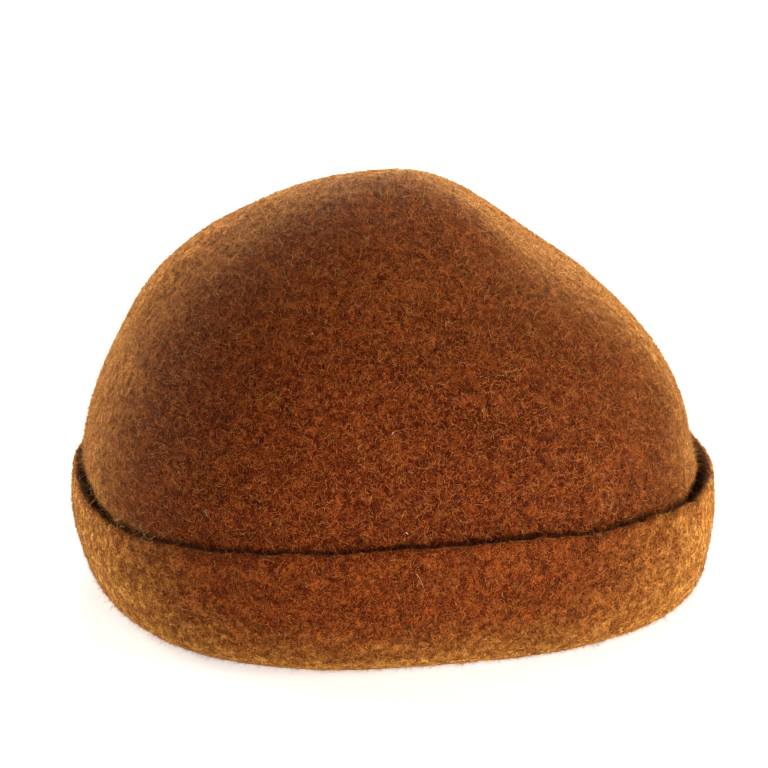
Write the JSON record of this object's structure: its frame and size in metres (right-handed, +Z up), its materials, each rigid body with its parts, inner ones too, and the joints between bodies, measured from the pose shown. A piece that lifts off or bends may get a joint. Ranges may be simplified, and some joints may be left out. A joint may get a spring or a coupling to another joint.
{
  "type": "rolled-brim felt hat",
  "caption": "Soft brown wool-felt hat with a rounded dome crown and a close brim rolled up into a deep cuff with a raw cut edge, with a ribbon sweatband inside.",
  "frame": {"origin": "centre of the head opening in plan, on the plane that the rolled brim stands on", "axes": "+Z up through the crown, -Y the front of the hat, +Y the back, where the sweatband laps; +X the wearer's left"},
  "size_m": [0.2254, 0.2416, 0.1589],
  "materials": {
    "wool_felt": "brushed thick wool felt, russet brown with a pale nap",
    "grosgrain": "ribbed grosgrain ribbon, dark brown",
    "bow_ribbon": "narrow ribbed ribbon, dark brown",
    "brown_thread": "twisted cotton thread, brown",
    "pale_thread": "twisted cotton thread, cream",
    "woven_label": "woven damask label, cream, blank",
    "satin": "white satin tape, blank"
  },
  "bodies": {
    "hat": {"crown": "wool_felt", "brim": "wool_felt", "headline_seam": "brown_thread", "brim_tacks": "brown_thread", "sweatband": "grosgrain", "sweatband_stitches": "brown_thread", "lap_stitches": "brown_thread", "bow_loop_left": "bow_ribbon", "bow_loop_right": "bow_ribbon", "bow_tail_left": "bow_ribbon", "bow_tail_right": "bow_ribbon", "bow_knot": "bow_ribbon", "maker_label": "woven_label", "size_tab": "woven_label", "label_stitches": "pale_thread", "care_label_hem": "satin", "care_label_stitches": "pale_thread"},
    "care_label": {"care_label": "satin"}
  },
  "joints": [
    {"name": "care_label_hinge", "type": "hinge", "parent": "hat", "child": "care_label", "pos_m": [0.04607, 0.08664, 0.0289], "axis": [-0.91, 0.4146, 0], "range_deg": [0, 150]}
  ]
}
